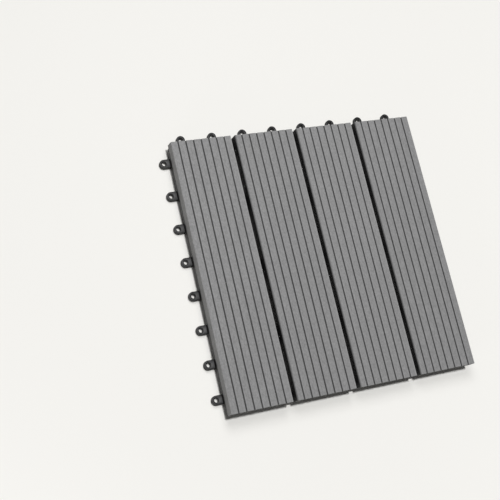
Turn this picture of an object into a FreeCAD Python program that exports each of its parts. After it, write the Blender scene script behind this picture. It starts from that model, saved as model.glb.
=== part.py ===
import FreeCAD, Part
import math
import os

# Interlocking deck tile: four ribbed composite slats screwed to one moulded base.
# Millimetres. X runs across the slats, Y along them, Z is up.
# The origin is on the floor, under the middle of the deck.

V = FreeCAD.Vector

# Deck slats, extruded boards cut to length
slat_count = 4
slat_width = 71.25
slat_gap = 5.0
slat_length = 300.0
slat_thickness = 12.0
slat_top_edge_chamfer = 0.8
slat_bottom_edge_chamfer = 0.6

# Grooves along the top of each slat
groove_count = 7
groove_pitch = 9.1
groove_width = 1.9
groove_bottom_width = 1.3
groove_depth = 1.4

# Two channels along the underside of each slat
channel_offset = 17.0
channel_mouth_width = 17.0
channel_roof_width = 10.0
channel_depth = 5.4
channel_corner_chamfer = 1.2

# Base, one moulding: border, ribs, feet, bosses, loops and pins
foot_height = 5.2
frame_height = 4.8
deck_overhang = 0.3
base_corner_radius = 5.0
rim_wall = 2.2
border_width = 12.0
floor_thickness = 2.0
rib_thickness = 2.0

# Square modules of the base, each with a middle rib and two ribs at its sides
module_count = 4
side_rib_offset = 30.0

# Feet under the border, and one under each hub where four modules meet
foot_sides = 6
foot_width = 7.2
foot_inset = 7.5
hub_foot_width = 12.0

# Loops on two sides, and the pins they drop over on the other two sides
links_per_side = 8
pin_diameter = 4.0
pin_inset = 4.5
pin_tip_gap = 0.6
joint_gap = 2.0
loop_pin_clearance = 0.3
loop_sides = 12
loop_width = 10.0
loop_top_clearance = 0.3
loop_floor_gap = 0.7
loop_root_length = 9.0

# Screws from below, two to a slat, in the middle of the end modules
boss_sides = 4
boss_width = 10.0
screw_sides = 8
screw_diameter = 3.5
screw_hole_clearance = 0.35
screw_thread_clearance = 0.05
screw_head_diameter = 7.0
screw_head_height = 2.2
screw_bite = 8.0
pilot_hole_spare_depth = 0.5

# Sizes worked out from the ones above
slat_pitch = slat_width + slat_gap
deck_width = slat_count * slat_width + (slat_count - 1) * slat_gap
base_size_x = deck_width - 2 * deck_overhang
base_size_y = slat_length - 2 * deck_overhang
frame_bottom = foot_height
frame_top = foot_height + frame_height
pin_radius = pin_diameter / 2
loop_hole_radius = pin_radius + loop_pin_clearance
loop_reach = joint_gap + pin_inset
loop_top = frame_bottom - loop_top_clearance
screw_tip = frame_top + screw_bite


def box(x0, y0, z0, x1, y1, z1):
    """Box between two opposite corners."""
    return Part.makeBox(x1 - x0, y1 - y0, z1 - z0, V(x0, y0, z0))


def upright_edges(block):
    """The four vertical edges of a box."""
    return [e for e in block.Edges if e.BoundBox.ZLength > e.BoundBox.XLength + e.BoundBox.YLength]


def upright_cylinder(radius, x, y, z0, z1):
    """Vertical cylinder from z0 up to z1."""
    return Part.makeCylinder(radius, z1 - z0, V(x, y, z0))


def upright_prism(sides, width, x, y, z0, z1):
    """Vertical prism on a regular polygon, measured across its flats."""
    step = 2 * math.pi / sides
    reach = width / 2 / math.cos(step / 2)
    corners = [
        V(x + reach * math.cos((k + 0.5) * step), y + reach * math.sin((k + 0.5) * step), z0)
        for k in range(sides)
    ]
    outline = Part.makePolygon(corners + corners[:1])
    return Part.Face(outline).extrude(V(0, 0, z1 - z0))


def groove_points(x, top):
    """Section of one groove, from its left lip to its right lip."""
    half = groove_width / 2
    half_bottom = groove_bottom_width / 2
    bottom = top - groove_depth
    return [
        V(x - half, 0, top),
        V(x - half_bottom, 0, bottom),
        V(x + half_bottom, 0, bottom),
        V(x + half, 0, top),
    ]


def channel_points(x, bottom):
    """Section of one underside channel, from its right mouth corner to its left one."""
    half_mouth = channel_mouth_width / 2
    half_roof = channel_roof_width / 2
    roof = bottom + channel_depth
    wall = V(half_mouth - half_roof, 0, -channel_depth)
    wall.normalize()
    drop = channel_corner_chamfer * wall.z
    out = channel_corner_chamfer * wall.x
    return [
        V(x + half_mouth, 0, bottom),
        V(x + half_roof + out, 0, roof + drop),
        V(x + half_roof - channel_corner_chamfer, 0, roof),
        V(x - half_roof + channel_corner_chamfer, 0, roof),
        V(x - half_roof - out, 0, roof + drop),
        V(x - half_mouth, 0, bottom),
    ]


def slat_section(x):
    """Closed section of a slat whose middle is at x."""
    bottom = frame_top
    top = frame_top + slat_thickness
    half = slat_width / 2
    top_cut = slat_top_edge_chamfer
    bottom_cut = slat_bottom_edge_chamfer
    outline = [V(x - half, 0, bottom + bottom_cut), V(x - half, 0, top - top_cut), V(x - half + top_cut, 0, top)]
    for i in range(groove_count):
        outline += groove_points(x + (i - (groove_count - 1) / 2) * groove_pitch, top)
    outline += [V(x + half - top_cut, 0, top), V(x + half, 0, top - top_cut), V(x + half, 0, bottom + bottom_cut)]
    outline.append(V(x + half - bottom_cut, 0, bottom))
    outline += channel_points(x + channel_offset, bottom)
    outline += channel_points(x - channel_offset, bottom)
    outline.append(V(x - half + bottom_cut, 0, bottom))
    return Part.makePolygon(outline + outline[:1])


def slat_centre(i):
    """Place of the middle of a slat along X."""
    return (i - (slat_count - 1) / 2) * slat_pitch


def module_middles(span):
    """Middles of the square modules along a side."""
    module = span / module_count
    return [(i + 0.5) * module - span / 2 for i in range(module_count)]


def foot_lines(span):
    """Lines of the feet along a side, at the middle of each module and at its side ribs."""
    offsets = (-side_rib_offset, 0, side_rib_offset)
    return [middle + offset for middle in module_middles(span) for offset in offsets]


def link_positions(span):
    """Places of the loops or pins along a side."""
    pitch = span / links_per_side
    return [(i + 0.5) * pitch - span / 2 for i in range(links_per_side)]


def screw_places():
    """Places of the screws, in the middles of the modules at the two ends of each slat."""
    rows = module_middles(slat_length)
    return [(x, y) for x in module_middles(deck_width) for y in (rows[0], rows[-1])]


def deck_slat(i):
    """One slat, with a pilot hole for each screw that enters it."""
    x = slat_centre(i)
    board = Part.Face(slat_section(x)).extrude(V(0, slat_length, 0))
    board.translate(V(0, -slat_length / 2, 0))
    width = screw_diameter + 2 * screw_thread_clearance
    hole_end = screw_tip + pilot_hole_spare_depth
    own = [p for p in screw_places() if abs(p[0] - x) < slat_width / 2]
    holes = [upright_prism(screw_sides, width, px, py, frame_top, hole_end) for px, py in own]
    return board.cut(Part.makeCompound(holes))


def border_frame():
    """Outer block of the base, with rounded corners."""
    half_x = base_size_x / 2
    half_y = base_size_y / 2
    block = box(-half_x, -half_y, frame_bottom, half_x, half_y, frame_top)
    return block.makeFillet(base_corner_radius, upright_edges(block))


def border_trough():
    """Open trough along the top of the border, between the rim and the inner wall."""
    outer_x = base_size_x / 2 - rim_wall
    outer_y = base_size_y / 2 - rim_wall
    inner_x = base_size_x / 2 - border_width + rib_thickness
    inner_y = base_size_y / 2 - border_width + rib_thickness
    floor = frame_bottom + floor_thickness
    outer = box(-outer_x, -outer_y, floor, outer_x, outer_y, frame_top)
    return outer.cut(box(-inner_x, -inner_y, floor, inner_x, inner_y, frame_top))


def bays(span, size):
    """Clear spans on both sides of each middle rib, from one border to the other."""
    inner = size / 2 - border_width
    half_rib = rib_thickness / 2
    found = []
    for middle in module_middles(span):
        low = max(middle - side_rib_offset + half_rib, -inner)
        high = min(middle + side_rib_offset - half_rib, inner)
        found += [(low, middle - half_rib), (middle + half_rib, high)]
    return found


def strips(span):
    """Narrow clear spans between neighbouring modules."""
    middles = module_middles(span)
    reach = side_rib_offset + rib_thickness / 2
    return [(a + reach, b - reach) for a, b in zip(middles, middles[1:])]


def module_spans(span, size):
    """Clear spans of whole modules, without their middle rib."""
    halves = bays(span, size)
    return [(a[0], b[1]) for a, b in zip(halves[0::2], halves[1::2])]


def blocks(spans_x, spans_y, bottom):
    """Boxes over every pairing of the spans, from bottom to the top of the base."""
    return [box(x0, y0, bottom, x1, y1, frame_top) for x0, x1 in spans_x for y0, y1 in spans_y]


def rib_openings():
    """Openings between the ribs; where two strips cross, a floor is left for the foot."""
    strips_x = strips(deck_width)
    strips_y = strips(slat_length)
    cells = blocks(bays(deck_width, base_size_x), bays(slat_length, base_size_y), frame_bottom)
    cells += blocks(strips_x, module_spans(slat_length, base_size_y), frame_bottom)
    cells += blocks(module_spans(deck_width, base_size_x), strips_y, frame_bottom)
    cells += blocks(strips_x, strips_y, frame_bottom + floor_thickness)
    return cells


def feet():
    """Feet in line with the ribs under the border, and one under each crossing of two strips."""
    edge_x = deck_width / 2 - foot_inset
    edge_y = slat_length / 2 - foot_inset
    places = [(x, side * edge_y) for x in foot_lines(deck_width) for side in (-1, 1)]
    places += [(side * edge_x, y) for y in foot_lines(slat_length)[1:-1] for side in (-1, 1)]
    hubs_x = [(a + b) / 2 for a, b in strips(deck_width)]
    hubs_y = [(a + b) / 2 for a, b in strips(slat_length)]
    hubs = [(x, y) for x in hubs_x for y in hubs_y]
    pegs = [upright_prism(foot_sides, foot_width, x, y, 0, frame_bottom) for x, y in places]
    pegs += [upright_prism(foot_sides, hub_foot_width, x, y, 0, frame_bottom) for x, y in hubs]
    return pegs


def pins():
    """Pins under the border on the +X and -Y sides."""
    places = [(deck_width / 2 - pin_inset, y) for y in link_positions(slat_length)]
    places += [(x, -slat_length / 2 + pin_inset) for x in link_positions(deck_width)]
    return [upright_cylinder(pin_radius, x, y, pin_tip_gap, frame_bottom) for x, y in places]


def loop_blank(edge):
    """Loop that reaches out along -X from the side of the deck at X = edge, centred on Y = 0."""
    centre = edge - loop_reach
    root_end = edge + loop_root_length
    half = loop_width / 2
    ring = upright_prism(loop_sides, loop_width, centre, 0, loop_floor_gap, loop_top)
    arms = box(centre, -half, loop_floor_gap, root_end, half, loop_top)
    root = box(edge + deck_overhang, -half, loop_floor_gap, root_end, half, frame_bottom)
    return ring.fuse([arms, root]).removeSplitter()


def loop_places():
    """Blank and hole centre of every loop, on the -X and +Y sides."""
    found = []
    for y in link_positions(slat_length):
        blank = loop_blank(-deck_width / 2)
        blank.translate(V(0, y, 0))
        found.append((blank, (-deck_width / 2 - loop_reach, y)))
    for x in link_positions(deck_width):
        blank = loop_blank(-slat_length / 2)
        blank.rotate(V(0, 0, 0), V(0, 0, 1), -90)
        blank.translate(V(x, 0, 0))
        found.append((blank, (x, slat_length / 2 + loop_reach)))
    return found


def base_grid():
    """The moulded base as one solid."""
    frame = border_frame().cut(Part.makeCompound([border_trough()] + rib_openings()))
    bosses = [
        upright_prism(boss_sides, boss_width, x, y, frame_bottom, frame_top)
        for x, y in screw_places()
    ]
    loops = loop_places()
    blanks = [blank for blank, _ in loops]
    solid = frame.fuse(bosses + feet() + pins() + blanks)
    screw_hole_width = screw_diameter + 2 * screw_hole_clearance
    screw_holes = [
        upright_prism(screw_sides, screw_hole_width, x, y, frame_bottom, frame_top)
        for x, y in screw_places()
    ]
    loop_holes = [
        upright_cylinder(loop_hole_radius, x, y, loop_floor_gap, loop_top)
        for _, (x, y) in loops
    ]
    return solid.cut(Part.makeCompound(screw_holes + loop_holes)).removeSplitter()


def screw(x, y):
    """Flat-ended screw that comes up through the base into a slat."""
    head_bottom = frame_bottom - screw_head_height
    head = upright_prism(screw_sides, screw_head_diameter, x, y, head_bottom, frame_bottom)
    shank = upright_prism(screw_sides, screw_diameter, x, y, head_bottom, screw_tip)
    return head.fuse(shank).removeSplitter()


def check(name, shape, solids):
    """Stop the build if a node isn't made of as many valid solids as it should be."""
    if not shape.isValid() or len(shape.Solids) != solids:
        raise ValueError(name + " is not a clean set of solids: " + str(len(shape.Solids)))


def main():
    os.makedirs("parts", exist_ok=True)
    nodes = {"base_grid": (base_grid(), 1)}
    for i in range(slat_count):
        nodes["deck_slat_" + str(i + 1)] = (deck_slat(i), 1)
    screws = [screw(x, y) for x, y in screw_places()]
    nodes["slat_screws"] = (Part.makeCompound(screws), len(screws))
    for name, (shape, solids) in nodes.items():
        check(name, shape, solids)
        shape.exportStep("parts/" + name + ".step")
        print(name, "solids", len(shape.Solids), "volume", round(shape.Volume, 1))


main()
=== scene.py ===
import math

import bmesh
import bpy
from mathutils import Matrix, Vector


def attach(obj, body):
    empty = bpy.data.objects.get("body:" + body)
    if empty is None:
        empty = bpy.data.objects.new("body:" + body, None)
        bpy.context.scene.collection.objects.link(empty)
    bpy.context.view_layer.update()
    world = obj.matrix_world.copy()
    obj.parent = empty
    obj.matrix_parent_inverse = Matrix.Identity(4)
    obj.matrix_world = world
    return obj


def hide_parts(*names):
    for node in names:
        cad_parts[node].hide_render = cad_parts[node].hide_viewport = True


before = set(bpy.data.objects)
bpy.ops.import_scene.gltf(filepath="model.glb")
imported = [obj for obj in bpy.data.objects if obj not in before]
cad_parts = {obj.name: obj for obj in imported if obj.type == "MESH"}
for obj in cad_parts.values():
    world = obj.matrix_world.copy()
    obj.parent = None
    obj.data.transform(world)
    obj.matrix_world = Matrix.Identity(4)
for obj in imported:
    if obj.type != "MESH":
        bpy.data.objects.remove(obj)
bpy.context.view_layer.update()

MM = 0.001

# Sizes of the tile, in millimetres, as in the solids
DECK = 300.0
SLAT_COUNT = 4
SLAT_WIDTH = 71.25
SLAT_PITCH = 76.25
SLAT_BOTTOM = 10.0
SLAT_TOP = 22.0
GROOVE_COUNT = 7
GROOVE_PITCH = 9.1
GROOVE_WIDTH = 1.9
GROOVE_BOTTOM_WIDTH = 1.3
GROOVE_DEPTH = 1.4
CHANNEL_OFFSET = 17.0
CHANNEL_MOUTH = 17.0
CHANNEL_ROOF = 10.0
CHANNEL_DEPTH = 5.4

OVERHANG = 0.3
BASE_BOTTOM = 5.2
BASE_FLOOR = 7.2
BASE_TOP = 10.0
BASE_CORNER = 5.0
RIM_WALL = 2.2
BORDER = 12.0
RIB = 2.0
MODULES = 4
SIDE_RIB = 30.0

FOOT_RADIUS = 3.6
FOOT_INSET = 7.5
HUB_FOOT_RADIUS = 6.0
LINKS = 8
PIN_RADIUS = 2.0
PIN_INSET = 4.5
PIN_TIP = 0.6
LOOP_REACH = 6.5
LOOP_RADIUS = 5.0
LOOP_HOLE_RADIUS = 2.3
LOOP_BOTTOM = 0.7
LOOP_TOP = 4.9
LOOP_ROOT = 9.0

BOSS_HALF = 5.0
SCREW_HOLE_RADIUS = 2.1
SCREW_RADIUS = 1.75
SCREW_HEAD_RADIUS = 3.5
SCREW_HEAD_BOTTOM = 3.0
SCREW_TIP = 18.0

# Roundings and small forms that the solids leave out, in millimetres
SLAT_EDGE_ROUND = 0.8
GAP_EDGE_ROUND = 0.6
SLAT_FOOT_ROUND = 0.9
SLAT_END_CHAMFER = 0.2
GROOVE_LIP_ROUND = 0.3
GROOVE_FLOOR_ROUND = 0.25
LIP = 0.75
CHANNEL_ROUND = 1.3
CHANNEL_MOUTH_ROUND = 0.4

RIM_ROUND = 0.8
RIB_ROUND = 0.3
CELL_CORNER = 0.8
LATTICE_CORNER = 1.2
FOOT_ROUND = 1.1
FOOT_FLARE = 0.5
HUB_FOOT_ROUND = 1.2
HUB_FOOT_FLARE = 0.8
PIN_ROUND = 0.7
PIN_FLARE = 0.35
LOOP_ROUND = 0.6
LOOP_HOLE_ROUND = 0.3
LOOP_HOLE_RIM = 0.7
LOOP_ROOT_RISE = 1.0
LOOP_ROOT_SHORT = 0.5
LOOP_ROOT_CORNER = 0.6
BOSS_CORNER = 2.0
BOSS_ROUND = 0.3

HEAD_ROUND = 0.9
HEAD_SEAT_ROUND = 0.15
RECESS_HALF_LENGTH = 1.9
RECESS_HALF_WIDTH = 0.42
RECESS_DEPTH = 1.3
RECESS_ROUND = 0.08
RECESS_FLOOR_RADIUS = 2.2
THREAD_PITCH = 1.4
THREAD_DEPTH = 0.35
THREAD_START = 1.0
THREAD_END = 2.5
POINT_LENGTH = 2.0
POINT_ROOT_STEP = 0.3
POINT_RADIUS = 0.2

# The least step between two surfaces that would otherwise lie on each other
STEP = 0.05

# The least radius of a corner when its outline shrinks
LEAST_RADIUS = 0.02

# Painted shade and painted highlight on the slats' skin, kept at each corner of their
# section: 0.5 is the plain colour, 0 the darkest and 1 the lightest. Lips are lighter;
# groove floors, the sides in the gaps and the feet of the outer sides are darker
PLAIN = 0.5
GROOVE_LIP = 0.58
FOOT_SHADE = 0.3
GAP_LIP_RIGHT = 0.70
GAP_LIP_LEFT = 0.20
GAP_UPPER = 0.04
DARK = 0.0

# Depths below the top, or heights above the bottom, where that shade changes
SIDE_BAND = 2.0
GAP_UPPER_DEPTH = 1.4
GAP_DARK_DEPTH = 3.0

# Range that a noise texture mostly stays in
NOISE_LOW, NOISE_HIGH = 0.3, 0.7


# Outlines, as functions of how far they are grown

def rounded_box(x0, y0, x1, y1, radius, steps=4):
    """Outline of a box with round corners, anticlockwise."""
    def outline(grow):
        r = max(radius + grow, LEAST_RADIUS)
        left, right = x0 - grow + r, x1 + grow - r
        near, far = y0 - grow + r, y1 + grow - r
        points = []
        for turn, (cx, cy) in enumerate(((right, far), (left, far), (left, near), (right, near))):
            for k in range(steps + 1):
                a = (turn + k / steps) * math.pi / 2
                points.append((cx + r * math.cos(a), cy + r * math.sin(a)))
        return points
    return outline


def circle(x, y, radius, steps=40):
    """Outline of a circle, anticlockwise."""
    def outline(grow):
        r = radius + grow
        angles = [2 * math.pi * k / steps for k in range(steps)]
        return [(x + r * math.cos(a), y + r * math.sin(a)) for a in angles]
    return outline


def tongue(x, y, radius, root, turn, steps=24):
    """Round end about a centre, with straight sides back to the root; turn is its direction."""
    def outline(grow):
        r = radius + grow
        angles = [(k / steps - 0.5) * math.pi for k in range(steps + 1)]
        points = [(r * math.cos(a), r * math.sin(a)) for a in angles]
        points = [(-(root + grow), -r)] + points + [(-(root + grow), r)]
        c, s = math.cos(turn), math.sin(turn)
        return [(x + c * px - s * py, y + s * px + c * py) for px, py in points]
    return outline


def cross(x, y, half_length, half_width):
    """Outline of an upright cross, anticlockwise."""
    def outline(grow):
        a, b = half_length + grow, half_width + grow
        arm = [(a, -b), (a, b), (b, b)]
        points = []
        for c, s in ((1, 0), (0, 1), (-1, 0), (0, -1)):
            points += [(x + c * px - s * py, y + s * px + c * py) for px, py in arm]
        return points
    return outline


# Building blocks

def ring(bm, points, z):
    """Closed ring of vertices at one height."""
    return [bm.verts.new((x * MM, y * MM, z * MM)) for x, y in points]


def skin(bm, lower, upper, outward=True):
    """Smooth band of faces between two closed rings of the same length."""
    count = len(lower)
    for i in range(count):
        j = (i + 1) % count
        corners = [lower[i], lower[j], upper[j], upper[i]]
        if not outward:
            corners.reverse()
        bm.faces.new(corners).smooth = True


def fill(bm, rings, normal):
    """Flat faces inside a ring and round the rings within it, turned towards the normal."""
    edges = []
    for loop in rings:
        for a, b in zip(loop, loop[1:] + loop[:1]):
            edges.append(bm.edges.get((a, b)) or bm.edges.new((a, b)))
    made = bmesh.ops.triangle_fill(
        bm, use_beauty=True, use_dissolve=False, edges=edges, normal=normal
    )
    faces = [item for item in made["geom"] if isinstance(item, bmesh.types.BMFace)]
    for face in faces:
        face.normal_update()
        if face.normal.dot(Vector(normal)) < 0:
            face.normal_flip()
    return faces


def cap(bm, rings, up):
    """Level face between an outer ring and the rings inside it, looking up or down."""
    fill(bm, rings, (0, 0, 1 if up else -1))


def arc(radius, steps):
    """Quarter round between two faces: how far each point lies from the first and the second."""
    if not radius:
        return [(0.0, 0.0)]
    angles = [math.pi / 2 * k / steps for k in range(steps + 1)]
    return [(radius * (1 - math.cos(a)), radius * (1 - math.sin(a))) for a in angles]


def levels(low, high, round_low, round_high, steps=3):
    """Heights and insets of the rings that make a wall with rounded edges."""
    below = [(low + rise, inset) for rise, inset in arc(round_low, steps)]
    above = [(high - drop, inset) for drop, inset in arc(round_high, steps)]
    return below + above[::-1]


def wall(bm, outline, low, high, rounds, outward):
    """Upright skin on an outline, rounded below and above; gives its lowest and highest rings."""
    sign = -1 if outward else 1
    rings = [ring(bm, outline(sign * inset), z) for z, inset in levels(low, high, *rounds)]
    for a, b in zip(rings, rings[1:]):
        skin(bm, a, b, outward)
    return rings[0], rings[-1]


def plate(bm, outer, holes, low, high, rounds=(0.0, 0.0), hole_rounds=None):
    """Flat plate with holes, its edges rounded below and above."""
    ends = [wall(bm, outer, low, high, rounds, True)]
    ends += [wall(bm, hole, low, high, hole_rounds or rounds, False) for hole in holes]
    cap(bm, [end[0] for end in ends], False)
    cap(bm, [end[1] for end in ends], True)


def turned(bm, x, y, profile, steps=32):
    """Closed solid turned about a vertical line, from (radius, height) pairs, lowest first."""
    rings = [ring(bm, circle(x, y, r, steps)(0.0), z) for r, z in profile]
    for a, b in zip(rings, rings[1:]):
        skin(bm, a, b)
    bm.faces.new(rings[0][::-1])
    bm.faces.new(rings[-1])


def finish_mesh(name, bm, materials, sharp=32.0):
    """Object made of the mesh, with edges above the angle kept sharp."""
    mesh = bpy.data.meshes.new(name)
    bm.to_mesh(mesh)
    bm.free()
    for material in materials:
        mesh.materials.append(material)
    mesh.set_sharp_from_angle(angle=math.radians(sharp))
    return add_object(name, mesh)


def add_object(name, data):
    """Object in the scene that shows the data."""
    obj = bpy.data.objects.new(name, data)
    bpy.context.scene.collection.objects.link(obj)
    return obj


# Materials

class Nodes:
    """Small helper to write a node tree in order."""

    def __init__(self, name):
        self.material = bpy.data.materials.new(name)
        self.material.use_nodes = True
        self.tree = self.material.node_tree
        self.shader = self.tree.nodes["Principled BSDF"]

    def node(self, kind, inputs, **settings):
        """New node; each input is a socket to link or a value to set."""
        made = self.tree.nodes.new(kind)
        for key, value in settings.items():
            setattr(made, key, value)
        for key, value in inputs.items():
            if isinstance(value, bpy.types.NodeSocket):
                self.tree.links.new(value, made.inputs[key])
            else:
                made.inputs[key].default_value = value
        return made

    def place(self, offset=(0.0, 0.0, 0.0), scale=(1.0, 1.0, 1.0)):
        """Point on the piece, moved and stretched."""
        coordinates = self.node("ShaderNodeTexCoord", {}).outputs["Object"]
        inputs = {"Vector": coordinates, "Location": offset, "Scale": scale}
        return self.node("ShaderNodeMapping", inputs).outputs["Vector"]

    def noise(self, vector, scale, detail, roughness):
        """Noise texture; the scale is in waves to a metre."""
        inputs = {"Vector": vector, "Scale": scale, "Detail": detail, "Roughness": roughness}
        return self.node("ShaderNodeTexNoise", inputs).outputs["Fac"]

    def stretch(self, value, low, high, to_low, to_high):
        """Value carried from one range to another, and held at its ends."""
        inputs = {
            "Value": value, "From Min": low, "From Max": high, "To Min": to_low, "To Max": to_high
        }
        return self.node("ShaderNodeMapRange", inputs).outputs["Result"]

    def spread(self, noise, to_low, to_high):
        """Noise carried from its usual range to another."""
        return self.stretch(noise, NOISE_LOW, NOISE_HIGH, to_low, to_high)

    def vary(self, noise, amount, middle=1.0):
        """Noise as a factor that goes up and down about the middle by a share of it."""
        return self.spread(noise, middle * (1 - amount), middle * (1 + amount))

    def math(self, operation, a, b):
        """Two numbers combined by a math node."""
        return self.node("ShaderNodeMath", {0: a, 1: b}, operation=operation).outputs[0]

    def product(self, values):
        """All the values multiplied, in their order."""
        result = values[0]
        for value in values[1:]:
            result = self.math("MULTIPLY", result, value)
        return result

    def vector_math(self, operation, a, b):
        """Node that combines two vectors."""
        return self.node("ShaderNodeVectorMath", {0: a, 1: b}, operation=operation)

    def shade(self, colour, value):
        """Colour made lighter or darker by a value about 1."""
        inputs = {0: colour, "Scale": value}
        return self.node("ShaderNodeVectorMath", inputs, operation="SCALE").outputs[0]

    def mix(self, factor, a, b):
        """Colour between two others; 0, 6, 7 and 2 are the mix node's colour sockets."""
        return self.node("ShaderNodeMix", {0: factor, 6: a, 7: b}, data_type="RGBA").outputs[2]

    def bump(self, height, strength, distance):
        """Surface direction over a height; the distance is in metres."""
        inputs = {"Height": height, "Strength": strength, "Distance": distance}
        return self.node("ShaderNodeBump", inputs).outputs["Normal"]

    def feed(self, name, value):
        """Link a value to the shader."""
        self.tree.links.new(value, self.shader.inputs[name])

    def fix(self, name, value):
        """Set a constant on the shader."""
        self.shader.inputs[name].default_value = value


def composite(index, cut_end=False):
    """Grey wood-plastic: drawn fibres along the board, fine grain and a slight unevenness; on the
    long faces, painted shade and painted highlight from the slats' corners.
    """
    n = Nodes("composite_end_%d" % index if cut_end else "composite_%d" % index)
    shift = (0.37 * index, 0.61 * index, 0.13 * index)
    tone = (1.0, 0.985, 1.01, 0.99)[index]
    along = n.place(shift, (1.0, 0.045, 1.0))
    even = n.place(shift)
    fibres = n.noise(along, 1500.0, 3.0, 0.6)
    grain = n.noise(even, 2300.0, 2.0, 0.6)
    clouds = n.noise(even, 26.0, 3.0, 0.5)
    bands = n.noise(along, 150.0, 2.0, 0.5)
    specks = n.noise(even, 900.0, 1.0, 0.4)
    mottle = n.noise(n.place(shift, (1.0, 0.6, 1.0)), 620.0, 2.0, 0.7)
    factors = [n.vary(grain, 0.07), n.vary(mottle, 0.16)]
    if not cut_end:
        factors.append(n.vary(fibres, 0.055))
    factors += [n.vary(bands, 0.02), n.vary(clouds, 0.025, tone)]
    if not cut_end:
        # Painted shade and painted highlight: lighter lips, darker grooves, gap sides and feet
        painted_shading = n.node("ShaderNodeAttribute", {}, attribute_name="painted_shading").outputs["Fac"]
        factors.append(n.stretch(painted_shading, 0.0, 1.0, 0.22, 1.78))
    # The cut ends are a darker grey: partly the rougher cut face, partly painted shade
    grey = (0.120, 0.119, 0.120) if cut_end else (0.230, 0.2293, 0.2305)
    colour = n.shade(grey, n.product(factors))
    fleck = n.stretch(specks, 0.70, 0.76, 0.0, 0.35)
    n.feed("Base Color", n.mix(fleck, colour, (0.40, 0.39, 0.37, 1.0)))
    n.feed("Roughness", n.stretch(grain, 0.2, 0.8, 0.66, 0.88))
    n.fix("Specular IOR Level", 0.08 if cut_end else 0.35)
    height = n.math("ADD", n.math("MULTIPLY", fibres, 0.6), n.math("MULTIPLY", grain, 0.5))
    n.feed("Normal", n.bump(height, 0.45, 0.00012))
    return n.material


def moulded_plastic():
    """Black moulded plastic with a faint spark-eroded texture."""
    n = Nodes("black_moulding")
    fine = n.noise(n.place((0.2, 0.1, 0.0)), 2600.0, 2.0, 0.6)
    flow = n.noise(n.place((0.0, 0.3, 0.0), (1.0, 0.35, 1.0)), 60.0, 3.0, 0.6)
    value = n.product([n.vary(flow, 0.15), n.vary(fine, 0.08)])
    n.feed("Base Color", n.shade((0.0120, 0.0120, 0.0126), value))
    n.feed("Roughness", n.math("ADD", n.spread(flow, 0.40, 0.50), n.spread(fine, -0.03, 0.05)))
    n.fix("Specular IOR Level", 0.3)
    n.feed("Normal", n.bump(fine, 0.25, 0.00006))
    return n.material


def zinc():
    """Zinc-plated steel with fine turning marks."""
    n = Nodes("zinc_steel")
    n.fix("Metallic", 1.0)
    rings = n.noise(n.place((0.1, 0.1, 0.0), (1.0, 1.0, 6.0)), 900.0, 2.0, 0.5)
    haze = n.noise(n.place(), 300.0, 3.0, 0.6)
    n.feed("Base Color", n.shade((0.52, 0.53, 0.55), n.spread(haze, 0.85, 1.1)))
    n.feed("Roughness", n.spread(rings, 0.26, 0.44))
    n.feed("Normal", n.bump(rings, 0.2, 0.00005))
    return n.material


# Slats

def round_corners(corners, steps=3):
    """Closed outline through (x, z, radius, shade) corners, with arcs where a radius is given."""
    points = []
    count = len(corners)
    for i, (x, z, radius, shade) in enumerate(corners):
        here = Vector((x, z))
        if not radius:
            points.append((x, z, shade))
            continue
        before = (Vector(corners[i - 1][:2]) - here).normalized()
        after = (Vector(corners[(i + 1) % count][:2]) - here).normalized()
        half = before.angle(after) / 2
        reach = radius / math.tan(half)
        centre = here + (before + after).normalized() * (radius / math.sin(half))
        start = here + before * reach - centre
        end = here + after * reach - centre
        sweep = start.angle_signed(end)
        for k in range(steps + 1):
            p = centre + Matrix.Rotation(-sweep * k / steps, 2) @ start
            points.append((p.x, p.y, shade))
    return points


def slat_side(x, in_gap):
    """Corners of one long side from its top edge down; a side in a gap gets painted shade, darkest
    deep in the gap, with a painted highlight on its right lip and painted shade on its left lip.
    """
    if not in_gap:
        return [
            (x, SLAT_TOP, SLAT_EDGE_ROUND, PLAIN),
            (x, SLAT_TOP - SIDE_BAND, 0, PLAIN),
            (x, SLAT_BOTTOM + SIDE_BAND, 0, PLAIN),
            # Painted shade along the foot of an outer side, where it meets the base
            (x, SLAT_BOTTOM, SLAT_FOOT_ROUND, FOOT_SHADE),
        ]
    if x > 0:
        lip = (x, SLAT_TOP, GAP_EDGE_ROUND, GAP_LIP_RIGHT)
    else:
        lip = (x, SLAT_TOP, SLAT_EDGE_ROUND, GAP_LIP_LEFT)
    return [
        lip,
        (x, SLAT_TOP - GAP_UPPER_DEPTH, 0, GAP_UPPER),
        (x, SLAT_TOP - GAP_DARK_DEPTH, 0, DARK),
        (x, SLAT_BOTTOM, SLAT_FOOT_ROUND, DARK),
    ]


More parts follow.
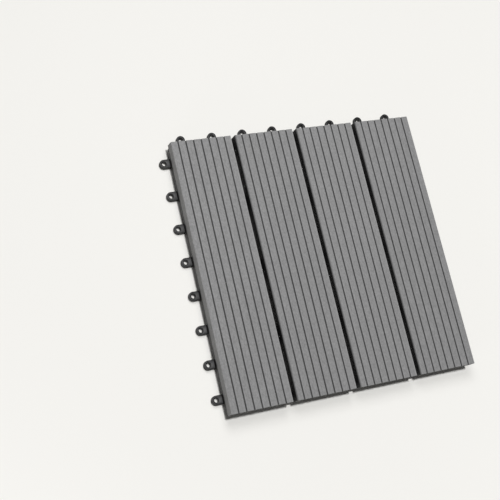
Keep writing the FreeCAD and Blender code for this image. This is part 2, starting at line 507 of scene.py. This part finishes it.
def slat_outline(left_gap, right_gap):
    """Section of a slat about its own middle, clockwise from the lower left."""
    half = SLAT_WIDTH / 2
    low, high = SLAT_BOTTOM, SLAT_TOP
    corners = slat_side(-half, left_gap)[::-1]
    corners.append((-half + SLAT_EDGE_ROUND + LIP, high, 0, PLAIN))
    for i in range(GROOVE_COUNT):
        x = (i - (GROOVE_COUNT - 1) / 2) * GROOVE_PITCH
        # Each groove: a painted highlight on its lips and painted shade on its floor
        corners += [
            (x - GROOVE_WIDTH / 2 - GROOVE_LIP_ROUND - LIP, high, 0, PLAIN),
            (x - GROOVE_WIDTH / 2, high, GROOVE_LIP_ROUND, GROOVE_LIP),
            (x - GROOVE_BOTTOM_WIDTH / 2, high - GROOVE_DEPTH, GROOVE_FLOOR_ROUND, DARK),
            (x + GROOVE_BOTTOM_WIDTH / 2, high - GROOVE_DEPTH, GROOVE_FLOOR_ROUND, DARK),
            (x + GROOVE_WIDTH / 2, high, GROOVE_LIP_ROUND, GROOVE_LIP),
            (x + GROOVE_WIDTH / 2 + GROOVE_LIP_ROUND + LIP, high, 0, PLAIN),
        ]
    corners.append((half - SLAT_EDGE_ROUND - LIP, high, 0, PLAIN))
    corners += slat_side(half, right_gap)
    for x in (CHANNEL_OFFSET, -CHANNEL_OFFSET):
        corners += [
            (x + CHANNEL_MOUTH / 2, low, CHANNEL_MOUTH_ROUND, PLAIN),
            (x + CHANNEL_ROOF / 2, low + CHANNEL_DEPTH, CHANNEL_ROUND, PLAIN),
            (x - CHANNEL_ROOF / 2, low + CHANNEL_DEPTH, CHANNEL_ROUND, PLAIN),
            (x - CHANNEL_MOUTH / 2, low, CHANNEL_MOUTH_ROUND, PLAIN),
        ]
    return round_corners(corners)


def shrunk(points, by):
    """Outline moved inwards along its corners' normals; the outline runs clockwise."""
    moved = []
    for i, (x, z, shade) in enumerate(points):
        x0, z0, _ = points[i - 1]
        x1, z1, _ = points[(i + 1) % len(points)]
        before = Vector((x - x0, z - z0)).normalized()
        after = Vector((x1 - x, z1 - z)).normalized()
        along = (before + after).normalized()
        moved.append((x + along.y * by, z - along.x * by, shade))
    return moved


def make_slat(index, materials):
    """Grooved board along y, its ends chamfered and cut with the second material."""
    bm = bmesh.new()
    # Painted shade and painted highlight for each corner of the section, read by the slats'
    # material
    painted_shading = bm.verts.layers.float.new("painted_shading")
    centre = (index - (SLAT_COUNT - 1) / 2) * SLAT_PITCH
    outline = slat_outline(index > 0, index < SLAT_COUNT - 1)
    inner = shrunk(outline, SLAT_END_CHAMFER)
    half = DECK / 2
    rows = []
    for y, points in (
        (-half, inner),
        (-half + SLAT_END_CHAMFER, outline),
        (half - SLAT_END_CHAMFER, outline),
        (half, inner),
    ):
        row = []
        for x, z, shade in points:
            vert = bm.verts.new(((centre + x) * MM, y * MM, z * MM))
            vert[painted_shading] = shade
            row.append(vert)
        rows.append(row)
    for a, b in zip(rows, rows[1:]):
        skin(bm, a, b)
    for row, way in ((rows[0], -1), (rows[-1], 1)):
        for face in fill(bm, [row], (0, way, 0)):
            face.material_index = 1
    return finish_mesh("slat_%d" % (index + 1), bm, materials)


# Base

def module_middles():
    """Middles of the grid's modules, the same along x and y."""
    module = DECK / MODULES
    return [(i + 0.5) * module - DECK / 2 for i in range(MODULES)]


def bays():
    """Spans of the cells beside each module's middle rib."""
    inner = DECK / 2 - OVERHANG - BORDER
    found = []
    for middle in module_middles():
        low = max(middle - SIDE_RIB + RIB / 2, -inner)
        high = min(middle + SIDE_RIB - RIB / 2, inner)
        found += [(low, middle - RIB / 2), (middle + RIB / 2, high)]
    return found


def strips():
    """Spans between the side ribs of neighbouring modules."""
    middles = module_middles()
    reach = SIDE_RIB + RIB / 2
    return [(a + reach, b - reach) for a, b in zip(middles, middles[1:])]


def module_spans():
    """Spans of the modules, from side rib to side rib."""
    halves = bays()
    return [(a[0], b[1]) for a, b in zip(halves[0::2], halves[1::2])]


def boxes(spans_x, spans_y):
    """Outlines of the cells where spans along x and y cross."""
    return [
        rounded_box(x0, y0, x1, y1, CELL_CORNER, steps=2)
        for x0, x1 in spans_x
        for y0, y1 in spans_y
    ]


def link_places():
    """Places of the loops and pins along a side."""
    return [(i + 0.5) * DECK / LINKS - DECK / 2 for i in range(LINKS)]


def screw_places():
    """Middles of the screws: two to a slat, in the first and last row of modules."""
    middles = module_middles()
    return [(x, y) for x in middles for y in (middles[0], middles[-1])]


def peg(bm, x, y, radius, tip, tip_round, flare):
    """Round foot or pin under the base, rounded at its tip and flared at its root."""
    profile = [(radius - inset, tip + rise) for rise, inset in arc(tip_round, steps=4)]
    profile += [(radius + out, BASE_BOTTOM - drop) for out, drop in arc(flare, steps=3)]
    profile.append((radius + flare, BASE_BOTTOM + 4 * STEP))
    turned(bm, x, y, profile)


def add_grid(bm):
    """Border with its trough, and the ribs, cells and floored hubs, as one closed skin."""
    half = DECK / 2 - OVERHANG
    inside = half - RIM_WALL
    reach = half - BORDER + RIB
    outer = rounded_box(-half, -half, half, half, BASE_CORNER, steps=8)
    corner = BASE_CORNER - RIM_WALL
    trough = rounded_box(-inside, -inside, inside, inside, corner, steps=8)
    lattice = rounded_box(-reach, -reach, reach, reach, LATTICE_CORNER)
    through = boxes(bays(), bays()) + boxes(strips(), module_spans())
    through += boxes(module_spans(), strips())
    blind = boxes(strips(), strips())

    rim_low, rim_top = wall(bm, outer, BASE_BOTTOM, BASE_TOP, (RIM_ROUND, RIM_ROUND), True)
    trough_low, trough_top = wall(bm, trough, BASE_FLOOR, BASE_TOP, (0.0, RIM_ROUND), False)
    lattice_low, lattice_top = wall(bm, lattice, BASE_FLOOR, BASE_TOP, (0.0, RIB_ROUND), True)
    rounds = (RIB_ROUND, RIB_ROUND)
    cells = [wall(bm, cell, BASE_BOTTOM, BASE_TOP, rounds, False) for cell in through]
    rounds = (0.0, RIB_ROUND)
    pockets = [wall(bm, cell, BASE_FLOOR, BASE_TOP, rounds, False) for cell in blind]
    cap(bm, [rim_low] + [low for low, _ in cells], False)
    cap(bm, [rim_top, trough_top], True)
    cap(bm, [trough_low, lattice_low], True)
    cap(bm, [lattice_top] + [top for _, top in cells + pockets], True)
    for low, _ in pockets:
        cap(bm, [low], True)


def add_boss(bm, x, y):
    """Drilled square block that a screw's head seats on."""
    boss = rounded_box(x - BOSS_HALF, y - BOSS_HALF, x + BOSS_HALF, y + BOSS_HALF, BOSS_CORNER)
    hole = circle(x, y, SCREW_HOLE_RADIUS, steps=24)
    plate(bm, boss, [hole], BASE_BOTTOM - STEP, BASE_TOP - STEP, (BOSS_ROUND, BOSS_ROUND))


def add_feet(bm):
    """Feet along the edge, and larger ones under the hubs."""
    edge = DECK / 2 - FOOT_INSET
    lines = [m + offset for m in module_middles() for offset in (-SIDE_RIB, 0, SIDE_RIB)]
    feet = [(x, side * edge) for x in lines for side in (-1, 1)]
    feet += [(side * edge, y) for y in lines[1:-1] for side in (-1, 1)]
    for x, y in feet:
        peg(bm, x, y, FOOT_RADIUS, 0.0, FOOT_ROUND, FOOT_FLARE)
    hubs = [(a + b) / 2 for a, b in strips()]
    for x in hubs:
        for y in hubs:
            peg(bm, x, y, HUB_FOOT_RADIUS, 0.0, HUB_FOOT_ROUND, HUB_FOOT_FLARE)


def add_pins(bm):
    """Pins along the right side and the front, for the neighbours' loops."""
    pins = [(DECK / 2 - PIN_INSET, y) for y in link_places()]
    pins += [(x, -DECK / 2 + PIN_INSET) for x in link_places()]
    for x, y in pins:
        peg(bm, x, y, PIN_RADIUS, PIN_TIP, PIN_ROUND, PIN_FLARE)


def add_loop(bm, x, y, turn):
    """Loop with its hole, on a root that runs in under the border; turn is where it points."""
    shape = tongue(x, y, LOOP_RADIUS, LOOP_REACH + LOOP_ROOT, turn)
    hole = circle(x, y, LOOP_HOLE_RADIUS)
    rounds, hole_rounds = (LOOP_ROUND, LOOP_ROUND), (LOOP_HOLE_ROUND, LOOP_HOLE_RIM)
    plate(bm, shape, [hole], LOOP_BOTTOM, LOOP_TOP, rounds, hole_rounds)

    c, s = round(math.cos(turn)), round(math.sin(turn))
    start = LOOP_REACH + OVERHANG
    end = start + LOOP_ROOT - LOOP_ROOT_SHORT
    side = LOOP_RADIUS - 3 * STEP
    xs = sorted((x - c * start, x - c * end))
    ys = sorted((y - s * start, y - s * end))
    low = (xs[0] - abs(s) * side, ys[0] - abs(c) * side)
    high = (xs[1] + abs(s) * side, ys[1] + abs(c) * side)
    root = rounded_box(*low, *high, LOOP_ROOT_CORNER)
    plate(bm, root, [], LOOP_BOTTOM + LOOP_ROOT_RISE, BASE_BOTTOM + 4 * STEP)


def make_base(material):
    """The whole moulding: grid, bosses, feet, pins and loops."""
    bm = bmesh.new()
    add_grid(bm)
    for x, y in screw_places():
        add_boss(bm, x, y)
    add_feet(bm)
    add_pins(bm)
    centre = DECK / 2 + LOOP_REACH
    for y in link_places():
        add_loop(bm, -centre, y, math.pi)
    for x in link_places():
        add_loop(bm, x, centre, math.pi / 2)
    return finish_mesh("base_moulding", bm, [material])


def make_screws(material):
    """Eight screws from below: a round head with a cross recess, and a threaded shank."""
    bm = bmesh.new()
    seat = BASE_BOTTOM - STEP
    for x, y in screw_places():
        head = circle(x, y, SCREW_HEAD_RADIUS, steps=36)
        recess = cross(x, y, RECESS_HALF_LENGTH, RECESS_HALF_WIDTH)
        rounds, recess_rounds = (HEAD_ROUND, HEAD_SEAT_ROUND), (RECESS_ROUND, 0.0)
        plate(bm, head, [recess], SCREW_HEAD_BOTTOM, seat, rounds, recess_rounds)
        floor = circle(x, y, RECESS_FLOOR_RADIUS, steps=24)
        plate(bm, floor, [], SCREW_HEAD_BOTTOM + RECESS_DEPTH, seat - STEP)
        shank = [(SCREW_RADIUS, seat - 6 * STEP)]
        z = seat + THREAD_START
        while z < SCREW_TIP - THREAD_END:
            shank += [(SCREW_RADIUS - THREAD_DEPTH, z), (SCREW_RADIUS, z + THREAD_PITCH / 2)]
            z += THREAD_PITCH
        shank.append((SCREW_RADIUS - POINT_ROOT_STEP, SCREW_TIP - POINT_LENGTH))
        shank.append((POINT_RADIUS, SCREW_TIP))
        turned(bm, x, y, shank, steps=20)
    return finish_mesh("screw_set", bm, [material])


# Floor, light and camera

def make_floor():
    """Pale floor, its colour evened against the fall-off of the lamps."""
    size = 6.0
    bm = bmesh.new()
    sides = ((-1, -1), (1, -1), (1, 1), (-1, 1))
    bm.faces.new([bm.verts.new((x * size, y * size, 0.0)) for x, y in sides])
    n = Nodes("pale_floor")
    point = n.place()
    slope = n.vector_math("DOT_PRODUCT", point, (0.160, -0.262, 0.0)).outputs["Value"]
    squares = n.vector_math("MULTIPLY", point, point).outputs[0]
    curve = n.vector_math("DOT_PRODUCT", squares, (0.443, 0.218, 0.0)).outputs["Value"]
    evened = n.stretch(n.math("ADD", slope, curve), -0.10, 0.15, 0.90, 1.15)
    n.feed("Base Color", n.shade((0.827, 0.818, 0.789), evened))
    n.fix("Roughness", 0.9)
    n.fix("Specular IOR Level", 0.0)
    floor = finish_mesh("floor", bm, [n.material])


def sun_light(name, towards, angle, strength):
    """Sun that shines from a direction; the angle, in degrees, softens its shadows."""
    light = bpy.data.lights.new(name, "SUN")
    light.energy = strength
    light.angle = math.radians(angle)
    obj = add_object(name, light)
    obj.rotation_euler = Vector(towards).to_track_quat("Z", "Y").to_euler()


def area_light(name, place, target, size, power):
    """Square lamp at a place, aimed at a target; the size is in metres and the power in watts."""
    light = bpy.data.lights.new(name, "AREA")
    light.shape = "SQUARE"
    light.size = size
    light.energy = power
    obj = add_object(name, light)
    obj.location = place
    obj.rotation_euler = (Vector(target) - Vector(place)).to_track_quat("-Z", "Y").to_euler()


def make_world():
    """Dim, even surroundings that fill the shadows."""
    world = bpy.data.worlds.new("studio")
    world.use_nodes = True
    background = world.node_tree.nodes["Background"]
    background.inputs["Color"].default_value = (1.0, 0.995, 0.98, 1.0)
    background.inputs["Strength"].default_value = 0.08
    bpy.context.scene.world = world


def make_camera():
    """Camera where the photograph's was, relative to the tile that leans in it."""
    place = Vector((-0.5602, -0.2063, 1.1152))
    forward = Vector((0.3814, 0.2247, -0.8967)).normalized()
    up = Vector((0.1239, 0.9488, 0.2905))
    right = forward.cross(up).normalized()
    up = right.cross(forward)
    data = bpy.data.cameras.new("camera")
    data.sensor_width = 36.0
    data.lens = 80.45
    data.shift_x = 0.033
    data.shift_y = -0.085
    camera = add_object("camera", data)
    turn = Matrix((right, up, -forward)).transposed()
    camera.matrix_world = Matrix.Translation(place) @ turn.to_4x4()
    bpy.context.scene.camera = camera


for i in range(SLAT_COUNT):
    slat = make_slat(i, [composite(i), composite(i, cut_end=True)])
    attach(slat, "root")
    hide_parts("deck_slat_%d" % (i + 1))

base = make_base(moulded_plastic())
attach(base, "root")
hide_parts("base_grid")

screws = make_screws(zinc())
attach(screws, "root")
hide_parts("slat_screws")

bpy.context.scene.view_settings.view_transform = "Standard"
make_floor()
sun_light("key", towards=(0.0, 0.135, 1.0), angle=6.0, strength=2.25)
area_light("top", place=(-0.15, 0.42, 0.85), target=(0.0, 0.0, 0.0), size=0.5, power=3.3)
area_light("fill", place=(-0.75, -0.55, 0.16), target=(-0.15, -0.1, 0.0), size=0.3, power=0.68)
make_world()
make_camera()
